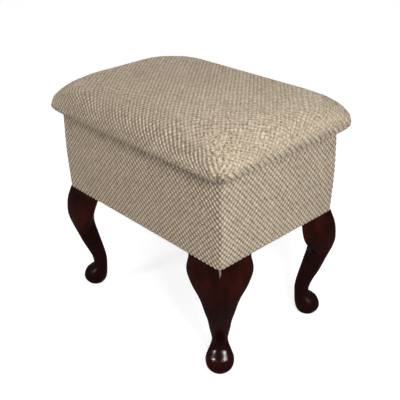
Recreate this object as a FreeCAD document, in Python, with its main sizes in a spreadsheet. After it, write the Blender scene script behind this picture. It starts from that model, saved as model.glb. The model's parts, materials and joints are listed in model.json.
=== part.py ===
# Storage stool: an upholstered box on four cabriole legs, closed by a padded lid on two butt hinges.
# Millimetres, +Z up. The origin is on the floor under the middle of the box, X runs along the long
# sides, the front looks to -Y and the hinges are at the back, on +Y.
import FreeCAD
import Part
import Sketcher
import os
import re
from math import sqrt
from FreeCAD import Placement, Rotation, Vector

doc = FreeCAD.newDocument("storage_stool")

# Driving dimensions
DIMENSIONS = {
    "leg_height": 225.0,
    "ear_joint": 48.0,
    "box_length": 411.0,
    "box_depth": 279.0,
    "box_rise": 152.5,
    "edge_round": 3.0,
    "cover_thick": 2.0,
    "turn_under": 22.0,
    "turn_in": 8.0,
    "panel_thick": 15.0,
    "lining_thick": 2.5,
    "lid_gap": 0.5,
    "lid_length": 449.0,
    "lid_depth": 315.0,
    "lid_rise": 67.0,
    "board_length": 416.0,
    "board_depth": 282.0,
    "board_corner": 24.0,
    "board_thick": 12.0,
    "lid_lining_length": 364.0,
    "lid_lining_depth": 232.0,
    "lid_lining_corner": 6.0,
    "hinge_spacing": 250.0,
    "hinge_length": 50.0,
    "leaf_thick": 1.4,
    "leaf_reach": 15.0,
    "knuckle_radius": 2.6,
    "knuckle_gap": 0.2,
    "knuckle_room": 0.7,
    "pivot_out": 0.8,
    "pin_radius": 1.5,
    "pin_clearance": 0.05,
    "pin_head_radius": 2.4,
    "pin_head_thick": 1.0,
    "pin_head_room": 0.5,
    "bolt_radius": 4.0,
    "bolt_in_leg": 42.0,
    "bolt_point": 8.0,
    "bolt_inset": 27.5,
    "nut_radius": 9.0,
    "nut_flange": 1.5,
    "nut_barrel_radius": 5.2,
    "nut_barrel": 11.0,
    "nut_clearance": 0.1,
    "screw_radius": 2.0,
    "screw_head_radius": 4.0,
    "screw_head": 2.4,
    "screw_length": 38.0,
    "leaf_screw_radius": 1.4,
    "leaf_screw_head_radius": 2.8,
    "leaf_screw_length": 11.0,
}

sheet = doc.addObject("Spreadsheet::Sheet", "dims")
for row, (alias, amount) in enumerate(DIMENSIONS.items(), 1):
    sheet.set(f"A{row}", alias)
    sheet.set(f"B{row}", str(amount))
    sheet.setAlias(f"B{row}", alias)
doc.recompute()

# Sizes that follow from the driving dimensions, written as expressions
CARCASS_LENGTH = "(box_length - 2 * cover_thick)"
CARCASS_DEPTH = "(box_depth - 2 * cover_thick)"
CARCASS_FLOOR = "(leg_height + cover_thick)"
CARCASS_RISE = "(box_rise - 2 * cover_thick)"
INNER_LENGTH = "(box_length - 2 * cover_thick - 2 * panel_thick)"
INNER_DEPTH = "(box_depth - 2 * cover_thick - 2 * panel_thick)"
BASE_TOP = "(leg_height + cover_thick + panel_thick)"
RIM = "(leg_height + box_rise)"
LID_FLOOR = "(leg_height + box_rise + lid_gap)"
BOARD_FLOOR = "(leg_height + box_rise + lid_gap + cover_thick)"
PIVOT_Y = "(box_depth / 2 + pivot_out)"
PIVOT_Z = "(leg_height + box_rise + lid_gap / 2)"
KNUCKLE_ROOM = "(knuckle_radius + knuckle_room)"
LEAF_BACK = "(box_depth / 2 + pivot_out - knuckle_radius - knuckle_room)"
UNDER_LENGTH = "(box_length - 2 * turn_under)"
UNDER_DEPTH = "(box_depth - 2 * turn_under)"

# Template lines of the leg in its corner's diagonal plane, as (height, distance out from the corner)
FRONT_LINE = (
    (0, -20.5), (3, -15), (9, -9.5), (15, -7.2), (21, -6.8), (28, -8.6), (35, -14.5), (43, -24.5),
    (51, -28.8), (67, -26.3), (95, -14), (123, -1.5), (149, 9.4), (169, 13), (195, 10.4), (213, 5), (225, 0),
)
BACK_LINE = (
    (0, -39.5), (3, -45), (9, -50), (18, -53), (45, -55.6), (55, -56), (94, -49), (133, -39.5),
    (148, -36.5), (160, -38.5), (174, -42), (188, -45.5), (200, -50.5), (225, -52),
)
# Half the width seen along the same diagonal: pad foot, ankle, shin, then the spread of the ears
HALF_WIDTH = (
    (0, 9.5), (3, 15.2), (9, 21), (15, 23.6), (21, 24.6), (29, 24), (36, 21), (43, 17.5), (50, 15.2),
    (58, 14), (66, 14.4), (85, 17.1), (115, 20.6), (129, 23.2), (141, 27.2), (154, 32.7), (166, 40.8),
    (176, 48), (181, 51), (193, 53.4), (216, 53.3), (225, 51.4),
)
LEG_STATIONS = (0, 4, 11, 21, 31, 40, 48, 56, 69, 92, 119, 141, 153, 163, 173, 187, 207, 225)
TEMPLATE_HEIGHT = 225.0
# Heights between which the section changes from round to crested, spreads sideways and grows its ears
CREST_RISE = (75.0, 145.0)
SPREAD_RISE = (113.0, 145.0)
EAR_RISE = (133.0, 181.0)
CREST_LEAN = 0.42
# Handle reaches of the section's curves, at the knee and at the top where two are given
CREST_REACH = (12.0, 5.0)
EAR_FRONT_REACH = (11.0, 4.0)
EAR_BACK_REACH = 6.0
SPINE_REACH = 20.0
# How far the ears swell out before the box at the knee, and how far they are set back at the top
EAR_SWELL = 7.0
EAR_SET_BACK = 1.5
# Reach of a cubic's handles that draws a quarter circle of radius one
ROUND = 0.5523

# Lid profile from its underside up, as (height, inset from the widest outline, corner radius)
LID_PROFILE = (
    (0, 9.5, 12), (3.5, 4.2, 14), (9, 1, 17), (14, 0, 19), (26, 1, 28), (37, 4.5, 44), (47, 11, 62),
    (55, 22, 78), (61.5, 44, 90), (67, 100, 50),
)

# Corners as (name, side in X, side in Y, turn from the front right corner)
CORNERS = (
    ("front_right", 1, -1, 0),
    ("back_right", 1, 1, 90),
    ("back_left", -1, 1, 180),
    ("front_left", -1, -1, 270),
)
HINGE_SIDES = (("left", -1), ("right", 1))
KNUCKLES = 5
# Places of the screws and the bolt's blunt tip, as shares of the piece that they belong to
BASE_SCREW_SPREAD = 0.24
END_SCREW_HEIGHTS = (0.3, 0.75)
LEAF_SCREW_SPREAD = 0.34
LEAF_SCREW_STAGGER = 0.1
BOLT_TIP = 0.3
UPRIGHT = Rotation()
DOWN = Rotation(Vector(1, 0, 0), 180)
ALONG_X = Rotation(Vector(0, 1, 0), 90)
ALONG_Y = Rotation(Vector(1, 0, 0), -90)
ALONG_MINUS_Y = Rotation(Vector(1, 0, 0), 90)


def dim(name):
    """The number in the cell of that name."""
    return float(sheet.get(name))


def bind(thing, prop, text):
    """Sets a property by an expression in the sheet's names."""
    thing.setExpression(prop, re.sub(r"[a-z_]+", lambda word: "dims." + word.group(0), str(text)))


def place(thing, x, y, z):
    for axis, text in (("x", x), ("y", y), ("z", z)):
        bind(thing, "Placement.Base." + axis, text)


def block(name, length, depth, rise, x=0, y=0, z=0):
    """A block centred on x and y that stands on z."""
    thing = doc.addObject("Part::Box", name)
    bind(thing, "Length", length)
    bind(thing, "Width", depth)
    bind(thing, "Height", rise)
    place(thing, f"{x} - {length} / 2", f"{y} - {depth} / 2", z)
    return thing


def rod(name, radius, length, x=0, y=0, z=0, turn=UPRIGHT):
    thing = doc.addObject("Part::Cylinder", name)
    bind(thing, "Radius", radius)
    bind(thing, "Height", length)
    thing.Placement = Placement(Vector(), turn)
    place(thing, x, y, z)
    return thing


def cone(name, low_radius, high_radius, length, z=0):
    thing = doc.addObject("Part::Cone", name)
    bind(thing, "Radius1", low_radius)
    bind(thing, "Radius2", high_radius)
    bind(thing, "Height", length)
    place(thing, 0, 0, z)
    return thing


def cut(name, base, *tools):
    """The base with each tool taken out of it in turn."""
    for number, tool in enumerate(tools, 1):
        step = doc.addObject("Part::Cut", name if number == len(tools) else f"{name}_cut_{number}")
        step.Base = base
        step.Tool = tool
        base = step
    return base


def fuse(name, *things):
    joined = doc.addObject("Part::MultiFuse", name)
    joined.Shapes = list(things)
    return joined


def common(name, base, tool):
    shared = doc.addObject("Part::Common", name)
    shared.Base = base
    shared.Tool = tool
    return shared


def copies(name, masters, placements):
    """One node that holds a separate solid of each master at each placement."""
    doc.recompute()
    solids = []
    for where in placements:
        for master in masters:
            solid = master.Shape.Solids[0].copy()
            solid.Placement = where.multiply(solid.Placement)
            solids.append(solid)
    group = doc.addObject("Part::Feature", name)
    group.Shape = solids[0] if len(solids) == 1 else Part.makeCompound(solids)
    return group


def rounded_rectangle(half_x, half_y, radius):
    """Four quarter arcs and four lines about the origin, counter-clockwise from the right-hand line."""
    in_x = half_x - radius
    in_y = half_y - radius
    middle = radius / sqrt(2)
    arcs = []
    for sx, sy in ((1, 1), (-1, 1), (-1, -1), (1, -1)):
        upright_end = Vector(sx * half_x, sy * in_y, 0)
        level_end = Vector(sx * in_x, sy * half_y, 0)
        start, end = (upright_end, level_end) if sx * sy > 0 else (level_end, upright_end)
        arcs.append(Part.Arc(start, Vector(sx * (in_x + middle), sy * (in_y + middle), 0), end))
    edges = []
    for before, after in zip(arcs[-1:] + arcs, arcs):
        edges.append(Part.LineSegment(before.EndPoint, after.StartPoint))
        edges.append(after)
    return edges


def rounded_pad(name, length, depth, corner, rise, floor):
    """A padded sketch of a rounded rectangle; its sizes are names in the sheet."""
    body = doc.addObject("PartDesign::Body", name)
    sketch = body.newObject("Sketcher::SketchObject", name + "_outline")
    plane = next(feature for feature in body.Origin.OriginFeatures if feature.Role == "XY_Plane")
    sketch.AttachmentSupport = (plane, [""])
    sketch.MapMode = "FlatFace"
    bind(sketch, "AttachmentOffset.Base.z", floor)
    ring = rounded_rectangle(dim(length) / 2, dim(depth) / 2, dim(corner))
    for edge in ring:
        sketch.addGeometry(edge, False)
    count = len(ring)
    for number in range(count):
        sketch.addConstraint(Sketcher.Constraint("Tangent", number, 2, (number + 1) % count, 1))
    right, top, left, bottom = 0, 2, 4, 6
    for upright in (right, left):
        sketch.addConstraint(Sketcher.Constraint("Vertical", upright))
    for level in (top, bottom):
        sketch.addConstraint(Sketcher.Constraint("Horizontal", level))
    for arc in (3, 5, 7):
        sketch.addConstraint(Sketcher.Constraint("Equal", 1, arc))
    spans = (
        ("length", "DistanceX", (left, 1, right, 1), length),
        ("depth", "DistanceY", (bottom, 1, top, 1), depth),
        ("half_length", "DistanceX", (-1, 1, right, 1), length + " / 2"),
        ("half_depth", "DistanceY", (-1, 1, top, 1), depth + " / 2"),
        ("corner", "Radius", (1,), corner),
    )
    for title, kind, points, text in spans:
        number = sketch.addConstraint(Sketcher.Constraint(kind, *points, dim(corner)))
        sketch.renameConstraint(number, title)
        bind(sketch, "Constraints." + title, text)
    pad = body.newObject("PartDesign::Pad", name + "_pad")
    pad.Profile = sketch
    bind(pad, "Length", rise)
    body.Tip = pad
    return body


def loft(name, stations, ruled):
    """A solid through (wire, height) stations, in flat bands or smooth; each height is an expression."""
    sections = []
    for number, (wire, height) in enumerate(stations, 1):
        section = doc.addObject("Part::Feature", f"{name}_station_{number}")
        section.Shape = wire
        bind(section, "Placement.Base.z", height)
        sections.append(section)
    solid = doc.addObject("Part::Loft", name)
    solid.Sections = sections
    solid.Solid = True
    solid.Ruled = ruled
    return solid


def along(line, height):
    """Reads a template line at a height, with a smooth cubic between its points."""
    spans = list(zip(line, line[1:]))
    slopes = [(high[1] - low[1]) / (high[0] - low[0]) for low, high in spans]
    inner = [(a + b) / 2 if a * b > 0 else 0.0 for a, b in zip(slopes, slopes[1:])]
    tangents = [slopes[0]] + inner + [slopes[-1]]
    for (low, high), start, end in zip(spans, tangents, tangents[1:]):
        if height <= high[0]:
            break
    gap = high[0] - low[0]
    u = (height - low[0]) / gap
    v = 1 - u
    ends = low[1] * v * v * (1 + 2 * u) + high[1] * u * u * (3 - 2 * u)
    return ends + gap * u * v * (start * v - end * u)


def blend(first, second, share):
    return first + (second - first) * share


def ramp(height, span):
    """A smooth step from nought to one over a span of heights."""
    share = min(max((height - span[0]) / (span[1] - span[0]), 0.0), 1.0)
    return share * share * (3 - 2 * share)


def leg_section(height):
    """A level section of the leg with the box's corner at the origin: nose, ear, back and ear."""
    nose, back, half = (along(line, height) for line in (FRONT_LINE, BACK_LINE, HALF_WIDTH))
    crest, spread, ear = (ramp(height, span) for span in (CREST_RISE, SPREAD_RISE, EAR_RISE))
    top = max((height - EAR_RISE[1]) / (TEMPLATE_HEIGHT - EAR_RISE[1]), 0.0)
    side = blend((nose + back) / 2, blend(EAR_SWELL, -EAR_SET_BACK, top) - half, spread)
    nose_reach = blend(ROUND * half, blend(*CREST_REACH, top), crest)
    lean = CREST_LEAN * crest * nose_reach
    front_reach = blend(ROUND * (nose - side), blend(*EAR_FRONT_REACH, top), crest)
    back_reach = blend(ROUND * (side - back), EAR_BACK_REACH, ear)
    spine_reach = blend(ROUND * half, SPINE_REACH, ear)
    one_side = (
        ((nose, 0), (nose - lean, nose_reach), (side + front_reach, half), (side, half)),
        ((side, half), (side - back_reach, half), (back, spine_reach), (back, 0)),
    )
    other_side = tuple(tuple((out, -across) for out, across in arc[::-1]) for arc in one_side[::-1])
    edges = []
    for arc in one_side + other_side:
        curve = Part.BezierCurve()
        curve.setPoles([Vector((out + across) / sqrt(2), (across - out) / sqrt(2), 0) for out, across in arc])
        edges.append(curve.toShape())
    return Part.Wire(edges)


def lid_form(name, floor, skin):
    """The crowned lid, drawn in all round by the cell that skin names; an empty skin leaves it whole."""
    inward = dim(skin) if skin else 0.0
    rise = f"(lid_rise - 2 * {skin})" if skin else "lid_rise"
    stations = []
    for height, inset, corner in LID_PROFILE:
        half_x = dim("lid_length") / 2 - inset - inward
        half_y = dim("lid_depth") / 2 - inset - inward
        edges = [edge.toShape() for edge in rounded_rectangle(half_x, half_y, corner - inward)]
        stations.append((Part.Wire(edges), f"{floor} + {height / LID_PROFILE[-1][0]} * {rise}"))
    return loft(name, stations, ruled=True)


def hinge_x(side):
    return f"{side} * hinge_spacing / 2"


def hinge_leaf(name, side, first, floor, screws):
    """A plate with every second knuckle of the hinge, counted from the first, bored for the pin."""
    length = f"(hinge_length / {KNUCKLES} - knuckle_gap)"
    pieces = [leaf_plate(name + "_plate", side, floor)]
    for number in range(first, KNUCKLES, 2):
        start = f"{hinge_x(side)} - hinge_length / 2 + {number} * hinge_length / {KNUCKLES} + knuckle_gap / 2"
        pieces.append(
            rod(f"{name}_knuckle_{number}", "knuckle_radius", length, start, PIVOT_Y, PIVOT_Z, ALONG_X)
        )
        pieces.append(leaf_tongue(f"{name}_tongue_{number}", length, f"{start} + {length} / 2", floor))
    start = f"{hinge_x(side)} - hinge_length / 2"
    bore = rod(name + "_bore", "pin_radius + pin_clearance", "hinge_length", start, PIVOT_Y, PIVOT_Z, ALONG_X)
    return cut(name, fuse(name + "_blank", *pieces), bore, screws)


def leaf_plate(name, side, floor):
    middle = f"{LEAF_BACK} - leaf_reach / 2"
    return block(name, "hinge_length", "leaf_reach", "leaf_thick", hinge_x(side), middle, floor)


def leaf_tongue(name, length, x, floor):
    """The strip of a leaf that reaches from its plate to the pin's axis."""
    return block(name, length, KNUCKLE_ROOM, "leaf_thick", x, f"{PIVOT_Y} - {KNUCKLE_ROOM} / 2", floor)


def hinge_pin(name, side):
    low_end = f"{hinge_x(side)} - hinge_length / 2"
    shaft = rod(name + "_shaft", "pin_radius", "hinge_length", low_end, PIVOT_Y, PIVOT_Z, ALONG_X)
    low_head = f"{low_end} - pin_head_thick"
    high_head = f"{hinge_x(side)} + hinge_length / 2"
    heads = [
        rod(f"{name}_head_{number}", "pin_head_radius", "pin_head_thick", start, PIVOT_Y, PIVOT_Z, ALONG_X)
        for number, start in enumerate((low_head, high_head), 1)
    ]
    return fuse(name, shaft, *heads)


def hinge_beds(body, floor):
    """The beds that the leaves of a body are pressed into, and the room for the knuckles."""
    room_length = "(hinge_length + 2 * pin_head_thick + 2 * pin_head_room)"
    beds = []
    for title, side in HINGE_SIDES:
        name = f"{title}_{body}"
        beds.append(leaf_plate(name + "_leaf_bed", side, floor))
        beds.append(leaf_tongue(name + "_tongue_bed", "hinge_length", hinge_x(side), floor))
        start = f"{hinge_x(side)} - {room_length} / 2"
        beds.append(rod(name + "_knuckle_bed", KNUCKLE_ROOM, room_length, start, PIVOT_Y, PIVOT_Z, ALONG_X))
    return beds


def make_carcass_screws():
    """Countersunk screws through the long panels into the ends and the base."""
    head = cone("screw_head", "screw_head_radius", "screw_radius", "screw_head")
    shank = rod("screw_shank", "screw_radius", "screw_length - screw_head", z="screw_head")
    end_x = (dim("box_length") - dim("panel_thick")) / 2 - dim("cover_thick")
    base_z = dim("leg_height") + dim("cover_thick") + dim("panel_thick") / 2
    spots = [(side * BASE_SCREW_SPREAD * dim("box_length"), base_z) for side in (-1, 1)]
    for share in END_SCREW_HEIGHTS:
        spots += [(side * end_x, dim("leg_height") + share * dim("box_rise")) for side in (-1, 1)]
    face = dim("box_depth") / 2 - dim("cover_thick")
    places = [Placement(Vector(x, -face, z), ALONG_Y) for x, z in spots]
    places += [Placement(Vector(x, face, z), ALONG_MINUS_Y) for x, z in spots]
    return copies("carcass_screws", [fuse("screw", head, shank)], places)


def make_leaf_screws():
    """Three screws in a shallow triangle through each leaf: one group down, one group up."""
    head = cone("leaf_screw_head", "leaf_screw_head_radius", "leaf_screw_radius", "leaf_thick")
    shank = rod("leaf_screw_shank", "leaf_screw_radius", "leaf_screw_length - leaf_thick", z="leaf_thick")
    screw = fuse("leaf_screw", head, shank)
    middle = dim("box_depth") / 2 + dim("pivot_out") - dim("knuckle_radius") - dim("knuckle_room")
    middle -= dim("leaf_reach") / 2
    spots = []
    for _, side in HINGE_SIDES:
        for step in (-1, 0, 1):
            x = side * dim("hinge_spacing") / 2 + step * LEAF_SCREW_SPREAD * dim("hinge_length")
            stagger = LEAF_SCREW_STAGGER * dim("leaf_reach") * (1 - 2 * abs(step))
            spots.append((x, middle + stagger))
    rim = dim("leg_height") + dim("box_rise")
    down = [Placement(Vector(x, y, rim), DOWN) for x, y in spots]
    up = [Placement(Vector(x, y, rim + dim("lid_gap")), UPRIGHT) for x, y in spots]
    return copies("box_leaf_screws", [screw], down), copies("lid_leaf_screws", [screw], up)


def make_leg_bolt():
    """A hanger bolt with a pointed end, standing on its axis."""
    foot = "leg_height - bolt_in_leg"
    point = cone("bolt_point", f"bolt_radius * {BOLT_TIP}", "bolt_radius", "bolt_point", foot)
    shank_foot = f"({foot} + bolt_point)"
    shank = rod("bolt_shank", "bolt_radius", f"{BASE_TOP} - nut_flange / 2 - {shank_foot}", z=shank_foot)
    return fuse("leg_bolt", point, shank)


def make_tee_nut():
    foot = f"{BASE_TOP} - nut_barrel"
    flange = rod("nut_flange", "nut_radius", "nut_flange", z=f"{BASE_TOP} - nut_flange")
    barrel = rod("nut_barrel", "nut_barrel_radius", "nut_barrel", z=foot)
    hole = rod("nut_hole", "bolt_radius + nut_clearance", "nut_barrel", z=foot)
    return cut("tee_nut", fuse("nut_blank", flange, barrel), hole)


def make_legs(leg_bolt):
    """One cabriole leg and its two knee blocks, repeated at the four corners."""
    stations = []
    for height in LEG_STATIONS:
        stations.append((leg_section(height), f"leg_height * {height / TEMPLATE_HEIGHT}"))
    form = loft("leg_form", stations, ruled=False)
    inset = dim("bolt_inset")
    bolt = copies("leg_bolt_in_leg", [leg_bolt], [Placement(Vector(-inset, inset, 0), UPRIGHT)])
    reach = "(4 * ear_joint)"
    front_room = block("front_ear_room", reach, reach, "leg_height", f"-ear_joint - {reach} / 2")
    end_room = block("end_ear_room", reach, reach, "leg_height", 0, f"ear_joint + {reach} / 2")
    leg = cut("leg", form, front_room, end_room, bolt)
    ears = [common("front_ear", form, front_room), common("end_ear", form, end_room)]
    made = []
    for title, sx, sy, turn in CORNERS:
        corner = Vector(sx * dim("box_length") / 2, sy * dim("box_depth") / 2, 0)
        where = [Placement(corner, Rotation(Vector(0, 0, 1), turn))]
        made.append(copies(title + "_leg", [leg], where))
        made.append(copies(title + "_knee_blocks", ears, where))
    return made


def make_carcass(screws, box_screws, box_beds):
    """Long panels over the ends, with the base let in between all four."""
    side_y = f"(({CARCASS_DEPTH} - panel_thick) / 2)"
    side_x = f"(({CARCASS_LENGTH} - panel_thick) / 2)"
    made = []
    for title, sign, tools in (("front", "-1", [screws]), ("back", "1", [screws, box_screws] + box_beds)):
        name = title + "_panel_blank"
        y = f"{sign} * {side_y}"
        blank = block(name, CARCASS_LENGTH, "panel_thick", CARCASS_RISE, 0, y, CARCASS_FLOOR)
        made.append(cut(title + "_panel", blank, *tools))
    for title, sign in (("left", "-1"), ("right", "1")):
        name = title + "_panel_blank"
        x = f"{sign} * {side_x}"
        blank = block(name, "panel_thick", INNER_DEPTH, CARCASS_RISE, x, 0, CARCASS_FLOOR)
        made.append(cut(title + "_panel", blank, screws))
    return made


def make_linings():
    """Covered boards that line the sides and the floor of the box."""
    floor = f"({BASE_TOP} + lining_thick)"
    rise = f"({RIM} - turn_in - {BASE_TOP} - lining_thick)"
    end_depth = f"({INNER_DEPTH} - 2 * lining_thick)"
    side_y = f"(({INNER_DEPTH} - lining_thick) / 2)"
    side_x = f"(({INNER_LENGTH} - lining_thick) / 2)"
    made = [block("base_lining", INNER_LENGTH, INNER_DEPTH, "lining_thick", 0, 0, BASE_TOP)]
    for title, sign in (("front", "-1"), ("back", "1")):
        y = f"{sign} * {side_y}"
        made.append(block(title + "_lining", INNER_LENGTH, "lining_thick", rise, 0, y, floor))
    for title, sign in (("left", "-1"), ("right", "1")):
        x = f"{sign} * {side_x}"
        made.append(block(title + "_lining", "lining_thick", end_depth, rise, x, 0, floor))
    return made


def make_box_cover(box_screws, box_beds):
    """Fabric round the carcass, turned under its lower edge and over the rim to the inside."""
    outer = rounded_pad("box_cover_outer", "box_length", "box_depth", "edge_round", "box_rise", "leg_height")
    carcass = block("carcass_room", CARCASS_LENGTH, CARCASS_DEPTH, CARCASS_RISE, 0, 0, CARCASS_FLOOR)
    mouth_length = f"({INNER_LENGTH} - 2 * cover_thick)"
    mouth_depth = f"({INNER_DEPTH} - 2 * cover_thick)"
    mouth = block("box_mouth", mouth_length, mouth_depth, "turn_in", 0, 0, f"{RIM} - turn_in")
    under = block("under_opening", UNDER_LENGTH, UNDER_DEPTH, "cover_thick", 0, 0, "leg_height")
    turned_in = block("turned_in_blank", INNER_LENGTH, INNER_DEPTH, "turn_in", 0, 0, f"{RIM} - turn_in")
    skin = cut("box_cover_skin", outer, carcass, under)
    whole = fuse("box_cover_whole", skin, turned_in)
    return cut("box_cover", whole, mouth, box_screws, *box_beds)


def make_lid(lid_screws, lid_beds):
    """Board, crowned foam, the fabric turned under the board, and the lining inside the turn."""
    lining = rounded_pad(
        "lid_lining", "lid_lining_length", "lid_lining_depth", "lid_lining_corner", "cover_thick", LID_FLOOR
    )
    board_blank = rounded_pad(
        "lid_board_blank", "board_length", "board_depth", "board_corner", "board_thick", BOARD_FLOOR
    )
    outer = lid_form("lid_outer_form", LID_FLOOR, "")
    inner = lid_form("lid_inner_form", BOARD_FLOOR, "cover_thick")
    board = cut("lid_board", board_blank, lid_screws, *lid_beds)
    foam = cut("lid_foam", inner, board_blank, *lid_beds)
    cover = cut("lid_cover", outer, inner, lining, lid_screws, *lid_beds)
    return [board, foam, cover, lining]


# Fastenings come first, because the pieces that they pass through are cut to them
carcass_screws = make_carcass_screws()
box_leaf_screws, lid_leaf_screws = make_leaf_screws()
hanger_bolt = make_leg_bolt()
bolt_x = dim("box_length") / 2 - dim("bolt_inset")
bolt_y = dim("box_depth") / 2 - dim("bolt_inset")
bolt_spots = [Placement(Vector(sx * bolt_x, sy * bolt_y, 0), UPRIGHT) for _, sx, sy, _ in CORNERS]
leg_bolts = copies("leg_bolts", [hanger_bolt], bolt_spots)
tee_nuts = copies("tee_nuts", [make_tee_nut()], bolt_spots)
box_hinge_beds = hinge_beds("box", f"{RIM} - leaf_thick")
lid_hinge_beds = hinge_beds("lid", LID_FLOOR)

nodes = [carcass_screws, box_leaf_screws, lid_leaf_screws, leg_bolts, tee_nuts]
nodes += make_carcass(carcass_screws, box_leaf_screws, box_hinge_beds)
base_blank = block("base_panel_blank", INNER_LENGTH, INNER_DEPTH, "panel_thick", 0, 0, CARCASS_FLOOR)
nodes.append(cut("base_panel", base_blank, carcass_screws, leg_bolts, tee_nuts))
nodes += make_linings()
nodes.append(make_box_cover(box_leaf_screws, box_hinge_beds))
dust_blank = block("dust_cover_blank", UNDER_LENGTH, UNDER_DEPTH, "cover_thick", 0, 0, "leg_height")
nodes.append(cut("dust_cover", dust_blank, leg_bolts))
nodes += make_legs(hanger_bolt)
nodes += make_lid(lid_leaf_screws, lid_hinge_beds)
for hand, sign in HINGE_SIDES:
    nodes.append(hinge_leaf(hand + "_hinge_box_leaf", sign, 0, f"{RIM} - leaf_thick", box_leaf_screws))
    nodes.append(hinge_leaf(hand + "_hinge_lid_leaf", sign, 1, LID_FLOOR, lid_leaf_screws))
    nodes.append(hinge_pin(hand + "_hinge_pin", sign))

doc.recompute()
for thing in doc.Objects:
    if "Invalid" in thing.State or "Error" in thing.State:
        raise RuntimeError(f"{thing.Label} did not build: {thing.State}")
for node in nodes:
    if node.Shape.isNull() or not node.Shape.isValid() or not node.Shape.Solids:
        raise RuntimeError(f"{node.Label} has no valid solid")

os.makedirs("parts", exist_ok=True)
for node in nodes:
    node.Shape.exportStep(f"parts/{node.Label}.step")
    print(node.Label, len(node.Shape.Solids), "solids,", round(node.Shape.Volume / 1000, 1), "cm3")
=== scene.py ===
# Storage stool: a chenille-covered box with a padded lid, on dark lacquered cabriole legs.
# Metres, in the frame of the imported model: +Z up, the front looks to -Y, the hinges are on +Y.
import bpy
import json
import numpy as np
from math import cos, pi, radians, sin
from mathutils import Matrix, Vector


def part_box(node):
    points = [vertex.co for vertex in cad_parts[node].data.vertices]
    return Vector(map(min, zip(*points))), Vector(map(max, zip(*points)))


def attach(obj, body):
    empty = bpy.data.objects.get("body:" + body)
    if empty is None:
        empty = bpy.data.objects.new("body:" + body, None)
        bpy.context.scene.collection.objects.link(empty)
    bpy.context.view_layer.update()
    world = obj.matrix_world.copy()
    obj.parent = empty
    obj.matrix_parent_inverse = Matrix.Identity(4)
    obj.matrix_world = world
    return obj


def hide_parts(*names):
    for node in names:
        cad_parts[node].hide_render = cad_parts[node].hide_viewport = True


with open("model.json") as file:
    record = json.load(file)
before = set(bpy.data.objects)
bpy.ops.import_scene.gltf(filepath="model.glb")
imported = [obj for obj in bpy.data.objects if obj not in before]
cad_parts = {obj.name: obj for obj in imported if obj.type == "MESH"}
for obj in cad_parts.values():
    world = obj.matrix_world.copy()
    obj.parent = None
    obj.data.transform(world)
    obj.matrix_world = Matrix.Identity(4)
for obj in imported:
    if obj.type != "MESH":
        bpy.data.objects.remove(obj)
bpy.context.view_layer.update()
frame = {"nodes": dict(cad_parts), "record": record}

MM = 0.001

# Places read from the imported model
lid_low, lid_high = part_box("lid_cover")
box_low, box_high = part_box("box_cover")
_, board_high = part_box("lid_board")
_, lining_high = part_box("lid_lining")
dust_low, dust_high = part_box("dust_cover")
pin_low, pin_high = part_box("right_hinge_pin")
leaf_low, leaf_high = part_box("right_hinge_box_leaf")

# Lid form from its underside up, as (height, inset from the widest outline, corner radius) in millimetres
LID_PROFILE = (
    (0, 9.5, 12), (3.5, 4.2, 14), (9, 1, 17), (14, 0, 19), (26, 1, 28), (37, 4.5, 44), (47, 11, 62),
    (55, 22, 78), (61.5, 44, 90), (67, 100, 50),
)
PROFILE_STEPS = 12
COVER_THICK = 2 * MM
LINING_CORNER = 6 * MM
BOARD_CORNER = 24 * MM
LID_CORNER = 19 * MM

# Cloth turned under the lid: its rings, the cloth between two of them, and its gap to lining and board
UNDER_RINGS = 8
UNDER_STEP = 4 * MM
BOARD_GAP = 0.5 * MM

# Slope beyond which cloth counts as level, and the height over the board where the lid's top begins
LEVEL = 0.5
OVER_BOARD = 5 * MM

# Where the cloth of the lid's top turns into the straight hang of its sides, by length down from the crown
HANG_FROM = 14 * MM
HANG_FULL = 60 * MM

# Swelling of the lid's cover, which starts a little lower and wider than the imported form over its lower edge
SWELL_START = 0.6 * MM
SIDE_EASE = 0.2 * MM
EASE_HEIGHT = 15 * MM
SWELL_CAP = 5 * MM
SWELL_KEPT = 0.35
SWELL_FRAMES = 20
SWELL_PRESSURE = 4.0

# Tucks at each lid corner, as (place towards the long side, depth, half width, height) in millimetres
TUCKS = (
    (3.5, 3.2, 2.0, 38), (-3.5, 1.8, 1.8, 22), (-9, 1.5, 1.8, 18), (10, 1.4, 1.8, 20), (-15, 1.2, 1.8, 14),
    (16, 1.0, 1.8, 14),
)
# Depth at which the painted shade in a tuck is darkest
TUCK_DARK = 2.5 * MM

# Gathers along the lower edge of the lid's ends, which slant as they go down
GATHER_PITCH = 12 * MM
GATHER_DEPTH = 1.5 * MM
GATHER_FULL = 14 * MM
GATHER_HEIGHT = 24 * MM
GATHER_SLANT = 1.0
# How far the cloth faces the end where the end begins, and where it is fully part of it
END_FACING = (0.5, 0.9)
# Margin under the lid's lower edge that still belongs to the lid
LID_MARGIN = 0.2 * MM

# Painted shadow line in the roll along the lid's lower edge, and how far the cloth there turns from facing
# down
SEAM_SHADE = 0.75
SEAM_HEIGHT = 4.5 * MM
SEAM_FACING = (-0.95, -0.65)

# Places where the stuffing is fuller, as (x, y, height over the underside, spread, swell) in millimetres
FULLER = ((205, 140, 42, 35, 4.0), (-198, 60, 56, 45, 1.2))
# Height from the underside over which that fullness comes in
FULLER_RISE = 25 * MM

# Half the width of the rubbed strip over each corner of the lid, and its fade at the top
RUBBED = 24 * MM
RUBBED_FADE = 8 * MM
# How much the ends of the lid are rubbed
RUBBED_ENDS = 0.5
# How much the right end of the lid's top is rubbed, and where that begins and is full
RUBBED_TOP = 0.4
RUBBED_FROM = 20 * MM
RUBBED_FULL = 170 * MM

# Box cover: its corners, edges and swell, its turns under the base and in over the rim, and the wall in it
BOX_CORNER = 3 * MM
LEAST_RADIUS = 0.5 * MM
BOX_EDGE = 1.2 * MM
BOX_PUFF = 1.6 * MM
TURN_UNDER = 22 * MM
TURN_IN = 8 * MM
RIM_RINGS = 8
WALL = 15 * MM
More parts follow.
